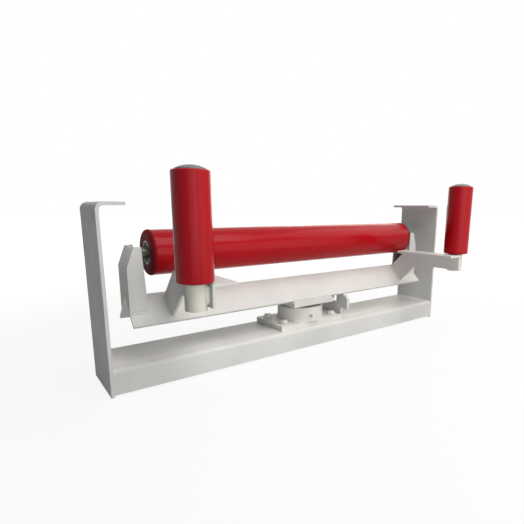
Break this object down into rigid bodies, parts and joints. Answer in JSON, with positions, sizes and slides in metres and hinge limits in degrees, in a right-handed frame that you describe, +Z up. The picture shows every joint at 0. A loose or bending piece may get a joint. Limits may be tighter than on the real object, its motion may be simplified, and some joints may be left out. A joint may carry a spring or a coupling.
{
  "type": "self-aligning return idler",
  "caption": "Hung return idler whose roller and upright guide rollers sit on a beam that swings about a central upright pivot to steer a wandering belt back.",
  "frame": {"origin": "centre of the four hanger bolt holes, in the plane of the flange tops", "axes": "+X along the return roller, -Y towards the incoming belt and the guide rollers, +Z up"},
  "size_m": [0.942, 0.295, 0.398],
  "materials": {
    "frame_paint": "satin light grey paint",
    "roller_red": "gloss red paint",
    "bare_steel": "turned or zinc plated steel",
    "bush_bronze": "bored bronze",
    "seal_plastic": "matt grey-green moulding",
    "cap_plastic": "smooth grey moulding"
  },
  "bodies": {
    "hanger_frame": {"left_hanger": "frame_paint", "right_hanger": "frame_paint", "base_beam": "frame_paint", "pivot_base_plate": "frame_paint", "base_bolts": "frame_paint", "base_washers": "frame_paint", "base_nuts": "frame_paint", "pivot_housing": "frame_paint", "grease_nipple": "bare_steel", "kingpin_bush": "bush_bronze", "thrust_lower_race": "bare_steel", "stop_fork": "frame_paint"},
    "swing_frame": {"thrust_upper_race": "bare_steel", "thrust_balls": "bare_steel", "kingpin": "bare_steel", "kingpin_washer": "bare_steel", "kingpin_nut": "bare_steel", "turntable_plate": "frame_paint", "swing_beam": "frame_paint", "stop_pin": "frame_paint", "return_roller_shaft": "bare_steel", "return_bearing_inner_rings": "bare_steel", "left_roller_bracket": "frame_paint", "left_shaft_saddle": "frame_paint", "left_guide_arm": "frame_paint", "left_guide_boss": "frame_paint", "left_guide_shaft": "bare_steel", "left_guide_clip": "bare_steel", "left_guide_inner_rings": "bare_steel", "right_roller_bracket": "frame_paint", "right_shaft_saddle": "frame_paint", "right_guide_arm": "frame_paint", "right_guide_boss": "frame_paint", "right_guide_shaft": "bare_steel", "right_guide_clip": "bare_steel", "right_guide_inner_rings": "bare_steel"},
    "return_roller": {"return_roller_shell": "roller_red", "return_bearing_cups": "roller_red", "return_bearing_outer_rings": "bare_steel", "return_roller_seals": "seal_plastic"},
    "left_guide_roller": {"left_guide_shell": "roller_red", "left_guide_cap": "cap_plastic", "left_guide_seal": "seal_plastic", "left_guide_sleeves": "bare_steel", "left_guide_outer_rings": "bare_steel"},
    "right_guide_roller": {"right_guide_shell": "roller_red", "right_guide_cap": "cap_plastic", "right_guide_seal": "seal_plastic", "right_guide_sleeves": "bare_steel", "right_guide_outer_rings": "bare_steel"}
  },
  "joints": [
    {"name": "swing_pivot", "type": "hinge", "parent": "hanger_frame", "child": "swing_frame", "pos_m": [0, 0, -0.25], "axis": [0, 0, 1], "range_deg": [-8, 8]},
    {"name": "return_roller_spin", "type": "hinge", "parent": "swing_frame", "child": "return_roller", "pos_m": [0, 0, -0.095], "axis": [1, 0, 0], "continuous": true},
    {"name": "left_guide_spin", "type": "hinge", "parent": "swing_frame", "child": "left_guide_roller", "pos_m": [-0.362, -0.2, -0.05], "axis": [0, 0, 1], "continuous": true},
    {"name": "right_guide_spin", "type": "hinge", "parent": "swing_frame", "child": "right_guide_roller", "pos_m": [0.362, -0.2, -0.05], "axis": [0, 0, 1], "continuous": true}
  ]
}
